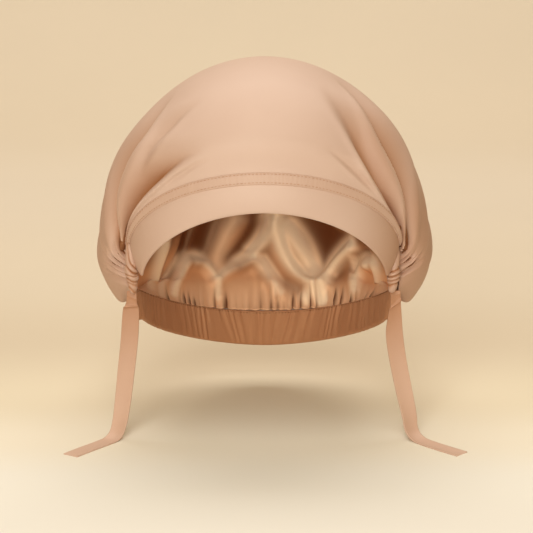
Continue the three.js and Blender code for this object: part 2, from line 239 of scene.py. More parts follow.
# The ruched bunches, and the creases that run round them from their outer to their inner side
GATHERS = table(
    "name side x y z wide deep tall tip",
    ("gather_left", -1, -92.4, -5.2, 1.6, 4.8, 5.2, 12.8, -0.06),
    ("gather_right", 1, 89.8, -5.6, -1.0, 4.6, 5.0, 9.2, 0.10),
)
GATHER_CREASES = {
    "gather_left": table(
        "outer inner sag depth width",
        (1.00, 0.12, 0.06, 0.26, 0.070),
        (0.46, -0.11, 0.12, 0.34, 0.070),
        (-0.07, -0.25, 0.05, 0.20, 0.045),
        (-0.27, -0.56, 0.08, 0.30, 0.060),
        (-0.51, -0.71, 0.05, 0.22, 0.050),
        (-0.70, -0.93, 0.05, 0.30, 0.060),
    ),
    "gather_right": table(
        "outer inner sag depth width",
        (0.62, 0.28, 0.05, 0.30, 0.090),
        (0.22, -0.12, 0.05, 0.30, 0.080),
        (-0.12, -0.45, 0.05, 0.24, 0.070),
        (-0.50, -0.72, 0.03, 0.30, 0.080),
    ),
}

# Routes of the ties, a row per bend, as the solids have them
TIE_NAMES = "x y z share yaw"
TIE_ROWS = {
    "tie_left": table(
        TIE_NAMES,
        (-92.6, -4.5, -12.6, 0.52, 0),
        (-92.9, -4.5, -21, 0.62, 0),
        (-93.4, -4.2, -27, 0.93, 0),
        (-94.9, -3.2, -48, 1, -3),
        (-97.7, -2.6, -71.7, 1, -8),
        (-101, -2, -98, 1, -22),
        (-103.8, -3.2, -112.5, 1, -32),
        (-107.4, -8.6, -118.2, 1, -34),
        (-113.5, -17.6, -119, 1, -34),
        (-123.6, -31.6, -119, 1, -34),
        (-133.6, -46, -119, 1, -34),
    ),
    "tie_right": table(
        TIE_NAMES,
        (91.4, -4.5, -12.4, 0.58, 8),
        (91.8, -4.5, -21, 0.6, 14),
        (91.4, -4.2, -30, 0.78, 10),
        (91.2, -3.4, -44, 0.98, 2),
        (93.8, -2.6, -62, 1, 6),
        (98.4, -2, -84, 1, 14),
        (102.6, -2, -103, 1, 30),
        (104.4, -4, -113.4, 1, 40),
        (108.8, -10.4, -118.3, 1, 44),
        (117.4, -21.6, -119, 1, 46),
        (127.4, -33.2, -119, 1, 47),
        (136.2, -43, -119, 1, 48),
    ),
}
TIE_CREASES = {
    "tie_left": table("z slant depth width", (-23.5, 0.4, 1.2, 0.9), (-17.0, -1.5, 0.5, 1.2)),
    "tie_right": table("z slant depth width", (-22.0, 2.6, 1.2, 0.9), (-15.5, 1.0, 0.5, 1.2)),
}

# The rows of stitches: two along the casing and one above the nape band
STITCH_ROWS = table(
    "name upper lower way reach lift slot finish",
    ("casing_stitches_upper", CROWN_ROWS[0], BAND_SEAM, 0.9, BAND_END, 0.95, "silk", "champagne_thread"),
    ("casing_stitches_lower", CROWN_ROWS[0], BAND_SEAM, 0.1, BAND_END, 0.95, "silk", "champagne_thread"),
    ("nape_stitches", NAPE_HEM, NAPE_TOP, 0.012, NAPE_END, -3.9, "satin_band", "tan_thread"),
)

# Finishes, in screen colours. hollow and crest: the colours of painted shade in deep folds and of painted
# highlights on crests.
PALE_GLOSS = (1.0, 0.90, 0.80, 1)
WARM_GLOSS = (1.0, 0.54, 0.28, 1)
SILK_PAINTED_SHADE = (162, 102, 54)
SILK_PAINTED_HIGHLIGHT = (230, 198, 176)
SATIN_PAINTED_SHADE = (80, 32, 8)
SATIN_PAINTED_HIGHLIGHT = (255, 226, 190)
FINISHES = table(
    "name light deep roughness weave gloss tint hollow crest",
    ("champagne_silk", (206, 177, 160), (194, 162, 145), 0.62, 0.2, 1.65, PALE_GLOSS, SILK_PAINTED_SHADE,
     SILK_PAINTED_HIGHLIGHT),
    ("champagne_casing", (200, 167, 147), (187, 151, 131), 0.62, 0.35, 1.65, PALE_GLOSS, None, None),
    ("tan_satin", (218, 158, 112), (204, 142, 98), 0.44, 0.06, 1.6, WARM_GLOSS, SATIN_PAINTED_SHADE, SATIN_PAINTED_HIGHLIGHT),
    ("tan_satin_band", (178, 128, 92), (164, 112, 78), 0.60, 0.12, 1.6, WARM_GLOSS, None, None),
    ("champagne_ribbon", (213, 179, 158), (201, 164, 142), 0.62, 0.2, 1.6, PALE_GLOSS, SILK_PAINTED_SHADE, None),
    ("champagne_thread", (186, 140, 108), (170, 124, 92), 0.6, 0.2, 1.5, PALE_GLOSS, None, None),
    ("tan_thread", (100, 54, 28), (80, 42, 20), 0.7, 0.2, 1.5, WARM_GLOSS, None, None),
)

# Camera, at the photograph's angle
CAMERA_AIM = Vector((1.4, 60.0, -8.8)) * MM
CAMERA_DISTANCE = 1.4
CAMERA_RISE = math.radians(12)
CAMERA_LENS = 129.5

# The backdrop paper: its colours along the floor and up the sweep, by metres behind the bonnet, with
# painted shade in them: a warm painted shadow just behind the bonnet, and the floor darkest about 0.28 m
# behind it
PAPER_AND_SHADE = table(
    "behind red green blue",
    (-1.00, 0.83, 0.80, 0.72),
    (-0.19, 0.85, 0.81, 0.73),
    (-0.10, 0.90, 0.865, 0.78),
    (-0.01, 0.88, 0.81, 0.67),
    (0.09, 0.79, 0.70, 0.535),
    (0.28, 0.685, 0.585, 0.445),
    (0.50, 0.715, 0.62, 0.485),
    (1.00, 0.70, 0.61, 0.49),
    (1.60, 0.685, 0.59, 0.46),
    (2.00, 0.665, 0.575, 0.45),
)

# Lights, in metres and watts. The small one stands for the light through the thin silk.
SOFT_TINT = (0.96, 0.97, 0.93)
WALL_TINT = (1.0, 1.0, 0.98)
LIGHTS = table(
    "name place aim size power tint",
    ("softbox_top", (0, -0.75, 1.6), (0, 0.1, 0), (0.6, 0.5), 5, SOFT_TINT),
    ("softbox_over", (-0.2, -1.3, 1.4), (0, 0.06, 0), (0.7, 0.7), 6, SOFT_TINT),
    ("softbox_front", (-0.25, -1.85, 0.6), (0, 0.05, 0), (0.8, 1.0), 19, SOFT_TINT),
    ("softbox_wall", (0, 1.1, 2.2), (0, 1.7, 0), (2.8, 1.2), 46, WALL_TINT),
    ("glow_through_crown", (0, -0.01, 0.075), (0, 0.165, -0.05), (0.1, 0.05), 0.07, SOFT_TINT),
)
ROOM_TINT = (1.0, 0.65, 0.24, 1)
ROOM_STRENGTH = 0.33


def add_camera():
    data = bpy.data.cameras.new("camera")
    data.lens = CAMERA_LENS
    camera = bpy.data.objects.new("camera", data)
    back = Vector((0, -math.cos(CAMERA_RISE), math.sin(CAMERA_RISE)))
    camera.location = CAMERA_AIM + back * CAMERA_DISTANCE
    camera.rotation_euler = (-back).to_track_quat("-Z", "Y").to_euler()
    bpy.context.collection.objects.link(camera)
    bpy.context.scene.camera = camera


# Shapes from tables
def smooth(low, high, value):
    t = np.clip((value - low) / (high - low), 0, 1)
    return t * t * (3 - 2 * t)


def column(rows, key, at, place="at"):
    """One column of a table at any place between its rows, as a smooth curve through them."""
    place = np.array([row[place] for row in rows], float)
    value = np.array([row[key] for row in rows], float)
    step = np.diff(place)
    rise = np.diff(value) / step
    slope = np.empty(len(place))
    slope[0], slope[-1] = rise[0], rise[-1]
    slope[1:-1] = (rise[:-1] * step[1:] + rise[1:] * step[:-1]) / (step[:-1] + step[1:])
    i = np.clip(np.searchsorted(place, at, side="right") - 1, 0, len(place) - 2)
    span = step[i]
    t = (at - place[i]) / span
    return (
        (1 + 2 * t) * (1 - t) ** 2 * value[i]
        + t * (1 - t) ** 2 * span * slope[i]
        + t * t * (3 - 2 * t) * value[i + 1]
        + t * t * (t - 1) * span * slope[i + 1]
    )


def arch(row, across):
    """Points of a row that rises as a flat arc and curls under into the side gathers."""
    way = np.abs(across)
    upper = way < TURN
    past = (way - TURN) / (1 - TURN)
    angle = np.where(upper, way / TURN, 1 + past) * np.pi / 2
    sine = np.abs(np.sin(angle))
    cosine = np.abs(np.cos(angle))
    full = 2 / row["square"]
    rising = row["pinch"] + (1 - row["pinch"]) * cosine**full
    reach = np.where(upper, rising, row["pinch"] * (1 - cosine))
    x = np.where(upper, row["half"] * sine**full, GATHER_X + (row["half"] - GATHER_X) * sine)
    y = GATHER_Y + (row["y"] - GATHER_Y) * reach ** row["lean"]
    z = row["gather_z"] + (row["z"] - row["gather_z"]) * reach - row["sag"] * sine**3
    return np.stack([x * np.sign(across), y, z], axis=-1)


def crown_base(at, across):
    row = {key: column(CROWN_ROWS, key, at) for key in ROW_NAMES.split()}
    return arch(row, across)


def unit(vectors):
    return vectors / np.maximum(np.linalg.norm(vectors, axis=-1, keepdims=True), 1e-9)


def outward(points):
    """The outward direction at each point of a grid of rows by columns."""
    return unit(np.cross(np.gradient(points, axis=1), np.gradient(points, axis=0)))


def wander(x, bends, seed):
    """A smooth random line between -1 and 1, with a number of bends for x from -1 to 1."""
    knots = np.random.default_rng(seed).uniform(-1, 1, bends + 3)
    place = (np.clip(x, -1, 1) + 1) / 2 * bends
    i = np.floor(place).astype(int)
    t = smooth(0, 1, place - i)
    return knots[i] * (1 - t) + knots[i + 1] * t


def soft_least(value, limit):
    """value where it is small, never above limit, without a corner."""
    return value * limit / (value + limit + 1e-9)


def sweep_scale(points, at):
    """Millimetres along the sweep for one whole step of at."""
    return np.linalg.norm(np.gradient(points, axis=0), axis=-1) / np.gradient(at, axis=0)


def folded(points, at, across, folds):
    """Presses long folds into a surface; each runs between two places of a row.

    Also gives how much painted shade each point gets in a fold's core, and how much painted highlight it
    gets on the lip in front of one.
    """
    normal = outward(points)
    along = unit(np.gradient(points, axis=0))
    scale = sweep_scale(points, at)
    sink = np.zeros_like(at)
    roll = np.zeros_like(at)
    fold_shade = np.zeros_like(at)
    edge = np.zeros_like(at)
    for fold in folds:
        t = np.clip((across - fold["start"]) / (fold["end"] - fold["start"]), 0, 1)
        path = [dict(at=i / 4, middle=fold[key]) for i, key in enumerate("abcde")]
        off = at - column(path, "middle", t)
        grow = 0.4 + 0.6 * smooth(0, 0.5, t)
        front, back = fold["front"] * grow, fold["back"] * grow
        strength = smooth(0, fold["rise"], t) * (1 - smooth(1 - fold["fall"], 1.0001, t))
        room = ROOM_SHARE * (front + back) * scale
        depth = soft_least(fold["depth"], room) * strength
        valley = np.where(off < 0, np.exp(-np.abs(off / front) ** 2.2), np.exp(-np.abs(off / back) ** 1.6))
        lobe = np.exp(-(((off + front + 0.6 * back) / (0.55 * back)) ** 2))
        beyond = np.exp(-(((off - 2.1 * back) / back) ** 2))
        sink += depth * (valley - PUFF_SHARE * (lobe + beyond))
        lip = np.exp(-(((off + 1.1 * front) / (0.8 * front)) ** 2)) * (off < 0)
        roll += fold["lap"] / fold["depth"] * depth * lip
        # Painted shade: how dark each fold's core and the trail behind it are painted
        shaded = np.where(off < 0, valley**1.5, np.exp(-np.abs(off / back / FOLD_SHADE_TRAIL) ** 1.4))
        fold_shade = np.maximum(fold_shade, shaded * strength * min(FOLD_SHADE_LIMIT, fold["depth"] / FOLD_SHADE_DEPTH))
        # Painted highlight on the lip in front of a fold
        edge = np.maximum(edge, lip * strength * min(1, fold["lap"] / LIP_HIGHLIGHT_LAP))
    calm = smooth(0, SEAM_CALM, at) * (1 - smooth(1 - 2 * SEAM_CALM, 1, at))
    made = points + calm[..., None] * (along * roll[..., None] - normal * sink[..., None])
    # Less painted shade close to the side gathers
    fold_shade = fold_shade * (1 - GATHER_SHADE_CUT * smooth(0.9, 0.98, np.abs(across)))
    return made, np.minimum(fold_shade, 1) * calm, edge * calm


def tucks(at, across, count, reach, seed):
    """Small gathers that rise from the nape seam and fade, no two alike, between -1 and 1."""
    phase = count * across + 0.9 * wander(across, count, seed)
    wave = 2 * np.abs(np.sin(np.pi * phase)) ** 0.7 - 1.2
    size = 0.72 + 0.28 * wander(across, 2 * count, seed + 1)
    high = reach * (1 + 0.6 * wander(across, 2 * count, seed + 2))
    return wave * size * np.clip(1 - (1 - at) / high, 0, 1) ** 1.4


def cloth_grid(rows, columns, reach=1.0, ease=0.0):
    """Places of a grid; with ease, its rows stand closer together toward the front seam."""
    share = np.linspace(0, 1, rows)[:, None]
    at = share * (1 - ease * (1 - share)) * np.ones(columns)
    across = np.linspace(-reach, reach, columns)[None, :] * np.ones((rows, 1))
    return at, across


def wave_field(at, across, waves):
    """Height of soft waves, each along a curve from one place over another to a third."""
    total = np.zeros_like(at)
    spot = np.stack([across * ROW_SCALE, at * SWEEP_SCALE], -1)
    t = np.linspace(0, 1, WAVE_STEPS)[:, None]
    for wave in waves:
        ends = [np.array([wave[k + "_across"] * ROW_SCALE, wave[k + "_at"] * SWEEP_SCALE])
                for k in ("from", "mid", "to")]
        bend = 2 * ends[1] - (ends[0] + ends[2]) / 2
        line = (1 - t) ** 2 * ends[0] + 2 * t * (1 - t) * bend + t**2 * ends[2]
        far = np.linalg.norm(spot[:, :, None, :] - line, axis=-1).min(axis=-1)
        total += (wave["height"] * np.exp(-((far / wave["width"]) ** 2))) ** BLEND_POWER
    return total ** (1 / BLEND_POWER)


def lining_depth(at, across):
    """How far the lining stands off the crown."""
    waves = wave_field(at, across, LINING_RIDGES) - wave_field(at, across, LINING_VALLEYS)
    room = LINING_ROOM * smooth(0.5, 0.7, at)
    room = np.logaddexp(0, (room + waves) / LINING_SOFT) * LINING_SOFT
    return LINING_INSET + room * (1 - smooth(*LINING_FOOT, at))


def lining_shade_and_highlight(at, across):
    """How much painted shade and painted highlight the satin gets: painted shade in its valleys and high
    in the bag, painted highlights on its ridges and near the seam.
    """
    # Painted highlight along the ridges, moved a little higher onto their lit upper sides, and weaker
    # toward the sides
    crest = wave_field(at + HIGHLIGHT_RISE, across, LINING_RIDGES) / HIGHLIGHT_FULL
    crest = np.clip(crest, 0, 1) ** 1.1 * (1 - HIGHLIGHT_FADE * smooth(*HIGHLIGHT_SIDE, np.abs(across)))
    valleys = [dict(row, width=row["width"] * VALLEY_SHADE_SPREAD) for row in LINING_VALLEYS]
    # Painted shade in the valleys, spread wider than the valleys themselves
    hollow = wave_field(at, across, valleys) / VALLEY_SHADE_FULL
    # Painted shade high in the bag
    hollow = np.maximum(hollow, HIGH_SHADE * (1 - smooth(*HIGH_SHADE_AT, at)))
    # Painted highlight near the nape seam
    crest = np.maximum(crest, SEAM_HIGHLIGHT * smooth(*SEAM_HIGHLIGHT_AT, at))
    return np.clip(hollow, 0, 1) * (1 - crest), crest


# Meshes
def cloth_share(points):
    """Cloth coordinates in metres: lengths along the middle row and the middle column."""
    row = points[len(points) // 2]
    line = points[:, points.shape[1] // 2]
    u = np.concatenate([[0], np.cumsum(np.linalg.norm(np.diff(row, axis=0), axis=1))])
    v = np.concatenate([[0], np.cumsum(np.linalg.norm(np.diff(line, axis=0), axis=1))])
    return np.stack(np.broadcast_arrays(u[None, :], v[:, None]), axis=-1) * MM


def mark(piece, **fields):
    """Writes values from 0 to 1 on the points of a grid, under plain names."""
    for name, values in fields.items():
        layer = piece.data.attributes.new(name, "FLOAT", "POINT")
        layer.data.foreach_set("value", values.astype(np.float32).ravel())


def grid_object(name, points, closed_rows=False):
    """A mesh from a grid of points in millimetres, with its cloth coordinates in a UV map."""
    rows, columns = points.shape[:2]
    index = np.arange(rows * columns).reshape(rows, columns)
    if closed_rows:
        index = np.vstack([index, index[:1]])
    faces = np.stack([index[:-1, :-1], index[:-1, 1:], index[1:, 1:], index[1:, :-1]], axis=-1)
    mesh = bpy.data.meshes.new(name)
    mesh.from_pydata((points.reshape(-1, 3) * MM).tolist(), [], faces.reshape(-1, 4).tolist())
    corners = np.empty(len(mesh.loops), int)
    mesh.loops.foreach_get("vertex_index", corners)
    layer = mesh.uv_layers.new(name="cloth")
    layer.data.foreach_set("uv", cloth_share(points).reshape(-1, 2)[corners].astype(np.float32).ravel())
    mesh.polygons.foreach_set("use_smooth", np.ones(len(mesh.polygons), bool))
    mesh.update()
    piece = bpy.data.objects.new(name, mesh)
    bpy.context.collection.objects.link(piece)
    return piece


def mesh_points(piece, shape):
    flat = np.empty(len(piece.data.vertices) * 3)
    piece.data.vertices.foreach_get("co", flat)
    return flat.reshape(*shape, 3) / MM


def solidify(piece, thickness):
    wall = piece.modifiers.new("wall", "SOLIDIFY")
    wall.thickness = thickness * MM
    wall.offset = -1
    wall.use_even_offset = False


def apply_modifiers(piece):
    """Turns what the modifiers make into the piece's own plain mesh."""
    depsgraph = bpy.context.evaluated_depsgraph_get()
    made = bpy.data.meshes.new_from_object(piece.evaluated_get(depsgraph), depsgraph=depsgraph)
    piece.modifiers.clear()
    piece.data = made


def seal(piece):
    """Closes the open ends and poles of a mesh and turns its faces outwards."""
    mesh = bmesh.new()
    mesh.from_mesh(piece.data)
    bmesh.ops.remove_doubles(mesh, verts=mesh.verts, dist=1e-7)
    edges = [edge for edge in mesh.edges if edge.is_boundary]
    bmesh.ops.holes_fill(mesh, edges=edges, sides=0)
    bmesh.ops.recalc_face_normals(mesh, faces=mesh.faces)
    mesh.to_mesh(piece.data)
    mesh.free()


def closed_wall(face, back, guide, thickness):
    """Closes a strip's face and back into a flat tube with round rims past the guide's ends."""
    turns = np.linspace(0, math.pi, RIM_STEPS + 2)[1:-1, None, None]

    def rim(row, beside):
        swell = unit(guide[row] - guide[beside]) * thickness / 2
        middle = (face[row] + back[row]) / 2
        half = (face[row] - back[row]) / 2
        return middle + half * np.cos(turns) + swell * np.sin(turns)

    return np.concatenate([face, rim(-1, -2), back[::-1], rim(0, 1)[::-1]])


def rounded_wall(points, thickness):
    """A strip's points as the face of a closed wall."""
    return closed_wall(points, points - outward(points) * thickness, points, thickness)


def dress(piece, slot, material, *nodes):
    """Gives a finished piece its material, if one is given, hangs it under the root body and hides the
    solids it stands for.
    """
    if material:
        piece.data.materials.clear()
        piece.data.materials.append(material)
    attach(piece, "root")
    if nodes:
        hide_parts(*nodes)


# Node trees
class Socket:
    """A socket that can be added, multiplied and so on as a plain value."""

    def __init__(self, tree, socket):
        self.tree = tree
        self.socket = socket

    def maths(self, operation, *others, swap=False):
        values = [self, *others]
        if swap:
            values.reverse()
        return self.tree.node("ShaderNodeMath", {"operation": operation}, inputs=values)

    def __add__(self, other):
        return self.maths("ADD", other)

    def __mul__(self, other):
        return self.maths("MULTIPLY", other)

    def __sub__(self, other):
        return self.maths("SUBTRACT", other)

    def __rsub__(self, other):
        return self.maths("SUBTRACT", other, swap=True)

    def __pow__(self, other):
        return self.maths("POWER", other)

    def __abs__(self):
        return self.maths("ABSOLUTE")

    def sine(self):
        return self.maths("SINE")

    __radd__ = __add__
    __rmul__ = __mul__


class Tree:
    """A node tree under construction."""

    def __init__(self, tree):
        self.nodes = tree.nodes
        self.links = tree.links

    def feed(self, slot, value):
        if isinstance(value, Socket):
            self.links.new(value.socket, slot)
        else:
            slot.default_value = value

    def node(self, kind, settings=None, output=0, inputs=(), **named):
        """Any node: its type, its settings, and the values or links of its sockets."""
        node = self.nodes.new(kind)
        for key, value in (settings or {}).items():
            setattr(node, key, value)
        pairs = inputs.items() if isinstance(inputs, dict) else enumerate(inputs)
        for place, value in pairs:
            self.feed(node.inputs[place], value)
        for key, value in named.items():
            self.feed(node.inputs[key.replace("_", " ")], value)
        return Socket(self, node.outputs[output])


class Finish(Tree):
    """A material under construction."""

    def __init__(self, name):
        self.material = bpy.data.materials.new(name)
        self.material.use_nodes = True
        super().__init__(self.material.node_tree)
        self.surface = self.nodes["Principled BSDF"]

    def mix(self, share, first, second):
        settings = {"data_type": "RGBA"}
        return self.node("ShaderNodeMix", settings, output=2, inputs={0: share, 6: first, 7: second})

    def ramp(self, share, stops):
        """A colour that changes along a share from 0 to 1, through stops of place and colour."""
        made = self.node("ShaderNodeValToRGB", Fac=share)
        line = made.socket.node.color_ramp
        line.interpolation = "EASE"
        while len(line.elements) < len(stops):
            line.elements.new(0.5)
        for element, (place, tone) in zip(line.elements, stops):
            element.position = place
            element.color = tone
        return made

    def set(self, **values):
        for key, value in values.items():
            self.feed(self.surface.inputs[key.replace("_", " ")], value)


class Maker(Tree):
    """A Geometry Nodes tree with named inputs, put on a piece as a modifier and applied."""

    def __init__(self, name, **sizes):
        self.group = bpy.data.node_groups.new(name, "GeometryNodeTree")
        super().__init__(self.group)
        self.sizes = sizes
        self.named = {}
        face = self.group.interface
        face.new_socket("Geometry", in_out="OUTPUT", socket_type="NodeSocketGeometry")
        face.new_socket("Geometry", in_out="INPUT", socket_type="NodeSocketGeometry")
        kinds = {float: "NodeSocketFloat", int: "NodeSocketInt"}
        for key, value in sizes.items():
            kind = kinds.get(type(value), "NodeSocketMaterial")
            self.named[key] = face.new_socket(key.replace("_", " "), in_out="INPUT", socket_type=kind)
        self.way_in = self.nodes.new("NodeGroupInput")

    def size(self, name):
        return Socket(self, self.way_in.outputs[name.replace("_", " ")])

    def finish(self, piece, geometry):
        """Ends the tree in plain geometry with its material, and makes the piece from it."""
        plain = self.node("GeometryNodeRealizeInstances", inputs=[geometry])
        coloured = self.node("GeometryNodeSetMaterial", Geometry=plain, Material=self.size("finish"))
        smooth_shape = self.node("GeometryNodeSetShadeSmooth", inputs=[coloured])
        self.links.new(smooth_shape.socket, self.nodes.new("NodeGroupOutput").inputs[0])
        modifier = piece.modifiers.new(self.group.name, "NODES")
        modifier.node_group = self.group
        for key, socket in self.named.items():
            modifier[socket.identifier] = self.sizes[key]
        apply_modifiers(piece)


# Materials
def colour(red, green, blue):
    """A linear colour from its screen values of 0 to 255."""
    def linear(value):
        value /= 255
        return value / 12.92 if value <= 0.04045 else ((value + 0.055) / 1.055) ** 2.4
    return (linear(red), linear(green), linear(blue), 1)


def woven(name, light, deep, roughness, weave, gloss, tint, hollow, crest):
    """Woven cloth: fine threads both ways, streaks where threads are thicker, soft clouds.

    Painted shade deepens its colour in the marked hollows of the cloth, and painted highlights pale it on
    the marked crests.
    """
    light, deep = colour(*light), colour(*deep)
    finish = Finish(name)
    cloth = finish.node("ShaderNodeUVMap", {"uv_map": "cloth"})
    place = finish.node("ShaderNodeTexCoord", output=3)
    cloud = finish.node("ShaderNodeTexNoise", Vector=place, Scale=26.0, Detail=3.0)
    weft_way = finish.node("ShaderNodeMapping", Vector=cloth, Scale=(60.0, 1500.0, 1.0))
    warp_way = finish.node("ShaderNodeMapping", Vector=cloth, Scale=(1500.0, 60.0, 1.0))
    weft = finish.node("ShaderNodeTexNoise", Vector=weft_way, Scale=1.0, Detail=2.0)
    warp = finish.node("ShaderNodeTexNoise", Vector=warp_way, Scale=1.0, Detail=2.0)
    grain = finish.node("ShaderNodeTexNoise", Vector=place, Scale=1400.0, Detail=2.0)
    threads = weft * 0.5 + warp * 0.5
    shade = cloud * 0.55 + threads * 0.25 + grain * 0.2
    height = threads * 0.7 + grain * 0.3
    tone = finish.mix(shade, deep, light)
    # Painted shade and painted highlight: colours mixed in where the pieces mark them, standing in for
    # shade and light
    for field, marked in (("hollow", hollow), ("crest", crest)):
        if marked:
            share = finish.node("ShaderNodeAttribute", {"attribute_name": field}, output=2)
            tone = finish.mix(share, tone, colour(*marked))
    finish.set(
        Base_Color=tone,
        Roughness=roughness + (threads - 0.5) * 0.1,
        Normal=finish.node("ShaderNodeBump", Strength=weave, Distance=0.0003, Height=height),
    )
    finish.set(IOR=gloss, Specular_IOR_Level=1.0, Specular_Tint=tint)
    return finish.material


# Pieces
def make_crown(material):
    """The silk bag with its long folds, its side folds and the small tucks at the nape seam."""
    at, across = cloth_grid(*CROWN_GRID, ease=CROWN_EASE)
    points, fold_shade, edge = folded(crown_base(at, across), at, across, CROWN_FOLDS)
    calm = 1 - smooth(0.72, 0.95, np.abs(across))
    lift = CROWN_TUCK * tucks(at, across, **CROWN_TUCKS) * calm
    piece = grid_object("crown_silk", points + outward(points) * lift[..., None])
    # Painted shade on the bag's sides, deeper on the right, and in the folds' cores; painted highlight on
    # their lips
    side = np.where(across < 0, *SIDE_SHADE) * smooth(0.5, 0.75, np.abs(across))
    mark(piece, hollow=np.maximum(fold_shade, side), crest=edge)
    solidify(piece, CROWN_WALL)
    apply_modifiers(piece)
    dress(piece, "silk", material, "crown")


def make_lining(material):
    """The lining inside the crown; its rows stand closer together toward the nape seam."""
    at, across = cloth_grid(*LINING_GRID, reach=LINING_REACH)
    at = at**LINING_EASE
    base, _, _ = folded(crown_base(at, across), at, across, CROWN_FOLDS)
    normal = outward(base)
    inset = lining_depth(at, across)
    hollow, crest = lining_shade_and_highlight(at, across)
    beside = 1 - smooth(0.5, 0.62, np.abs(across))
    tuck = tucks(at, across, **LINING_TUCKS) * beside
    inset -= LINING_TUCK * tuck * (1 - 0.6 * smooth(0.99, 1, at))
    points = base - normal * inset[..., None]
    piece = grid_object("lining_satin", points)
    # Painted shade in the tucks' grooves, with the painted highlight taken out of them
    hollow = np.maximum(hollow, np.clip(-TUCK_SHADE * tuck - TUCK_SHADE_FROM, 0, 1))
    crest *= 1 - np.clip(-2 * tuck, 0, 1)
    mark(piece, hollow=hollow, crest=crest)
    solidify(piece, LINING_WALL)
    apply_modifiers(piece)
    dress(piece, "satin_lining", material, "lining")


def strip(upper, lower, start, end, rows, columns, reach):
    """A strip between two rows, from start to end of the way from the lower to the upper."""
    way = np.linspace(start, end, rows)[:, None, None]
    across = np.linspace(-1, 1, columns) * np.reshape(reach, (-1, 1))
    return arch(lower, across) * (1 - way) + arch(upper, across) * way


def rounded_reach(rows):
    """The strip's ends, cut back at its corners."""
    return BAND_END - BAND_CORNER * np.abs(np.linspace(-1, 1, rows)) ** 3


def make_front_band(material):
    """The band round the face, a little bulged, with painted shade deepening toward its ends, more at the
    right.
    """
    rows, columns = 22, 300
    points = strip(BAND_SEAM, BAND_EDGE, 0, 0.99, rows, columns, rounded_reach(rows))
    swell = BAND_BULGE * np.sin(np.linspace(0, np.pi, rows)) ** 0.7
    points = points + outward(points) * swell[:, None, None]
    wall = rounded_wall(points, BAND_WALL)
    piece = grid_object("front_band_silk", wall, closed_rows=True)
    place = np.linspace(-1, 1, columns)
    # Painted shade toward the band's ends, deeper at the right end
    deep = np.where(place < 0, *BAND_END_SHADE) * smooth(0.4, 1, np.abs(place))
    mark(piece, hollow=np.broadcast_to(deep, wall.shape[:2]))
    seal(piece)
    dress(piece, "silk", material, "front_band")


def make_casing(material):
    """The raised strip between two seams, puckered by its stitches."""
    rows = 14
    points = strip(CROWN_ROWS[0], BAND_SEAM, -0.02, 1.04, rows, 460, BAND_END + 0.004)
    across = np.linspace(-1, 1, points.shape[1])[None, :]
    way = np.linspace(-1, 1, rows)[:, None]
    pucker = np.sin(2 * np.pi * (CASING_PUCKERS * across + 1.2 * wander(across, 50, 51)))
    swell = CASING_LIFT * (1 - way**2) ** 0.5 + CASING_PUCKER * pucker * (0.4 + 0.6 * way**2)
    points = points + outward(points) * (swell + CASING_RAISE)[..., None]
    piece = grid_object("front_casing_silk", rounded_wall(points, CASING_WALL), closed_rows=True)
    seal(piece)
    dress(piece, "silk", material, "front_casing")


def pleated(points, pleats, depth, calm, seed, finish):
    """A strip's points drawn into pleats by a tree that lifts them along their normals."""
    rows, columns = points.shape[:2]
    piece = grid_object("pleats", points)
    down, along = np.meshgrid(np.linspace(0, 1, rows), np.linspace(0, 1, columns), indexing="ij")
    mark(piece, along=along, down=down)
    maker = Maker("pleats", pleats=pleats, depth=depth, calm=calm, seed=seed, finish=finish)
    kind = {"data_type": "FLOAT"}
    along = maker.node("GeometryNodeInputNamedAttribute", kind, Name="along")
    down = maker.node("GeometryNodeInputNamedAttribute", kind, Name="down")
    line = {"noise_dimensions": "2D"}
    side = along - 0.5
    place = side * (1 - down * side * side * 0.5)
    shift = maker.node("ShaderNodeCombineXYZ", X=place * 12 + maker.size("seed"), Y=down * 0.15)
    slow = maker.node("ShaderNodeTexNoise", line, Vector=shift, Scale=1.0, Detail=1.0)
    quick = maker.node("ShaderNodeTexNoise", line, Vector=shift, Scale=3.4, Detail=1.0)
    phase = place * maker.size("pleats") + slow * 4.0 + quick * 0.9
    soft = (phase * (math.pi * 2)).sine() * (slow * 1.4 - 0.25)
    crease = 1 - abs((phase * (math.pi * 0.63) + slow * 3.0).sine()) ** 0.22
    fine = (phase * (math.pi * 5.2)).sine() * (1 - down) ** 4
    lift = (soft * 0.7 - crease * (quick * 1.0 - 0.3) + fine * 0.12) * maker.size("depth")
    lift = lift * (1 - down * maker.size("calm"))
    normal = maker.node("GeometryNodeInputNormal")
    offset = maker.node("ShaderNodeVectorMath", {"operation": "SCALE"}, inputs={0: normal, 3: lift})
    source = maker.size("Geometry")
    maker.finish(piece, maker.node("GeometryNodeSetPosition", Geometry=source, Offset=offset))
    made = mesh_points(piece, (rows, columns))
    bpy.data.objects.remove(piece)
    return made


def make_nape_band(material):
    """The elastic band at the nape, pleated on its face and on its back."""
    points = strip(NAPE_HEM, NAPE_TOP, 0, 0.985, 16, 1100, NAPE_END)
    inner = points - outward(points) * (NAPE_INSET + NAPE_WALL)
    inner = pleated(inner, depth=-NAPE_PLEAT * MM, finish=material, **NAPE_PLEATS)
    outer = points - outward(points) * NAPE_INSET
    outer = pleated(outer, depth=NAPE_PLEAT * MM, finish=material, **NAPE_PLEATS)
    ring = closed_wall(outer, inner, (inner + outer) / 2, NAPE_WALL)
    piece = grid_object("nape_band_satin", ring, closed_rows=True)
    seal(piece)
    dress(piece, "satin_band", material, "nape_band")


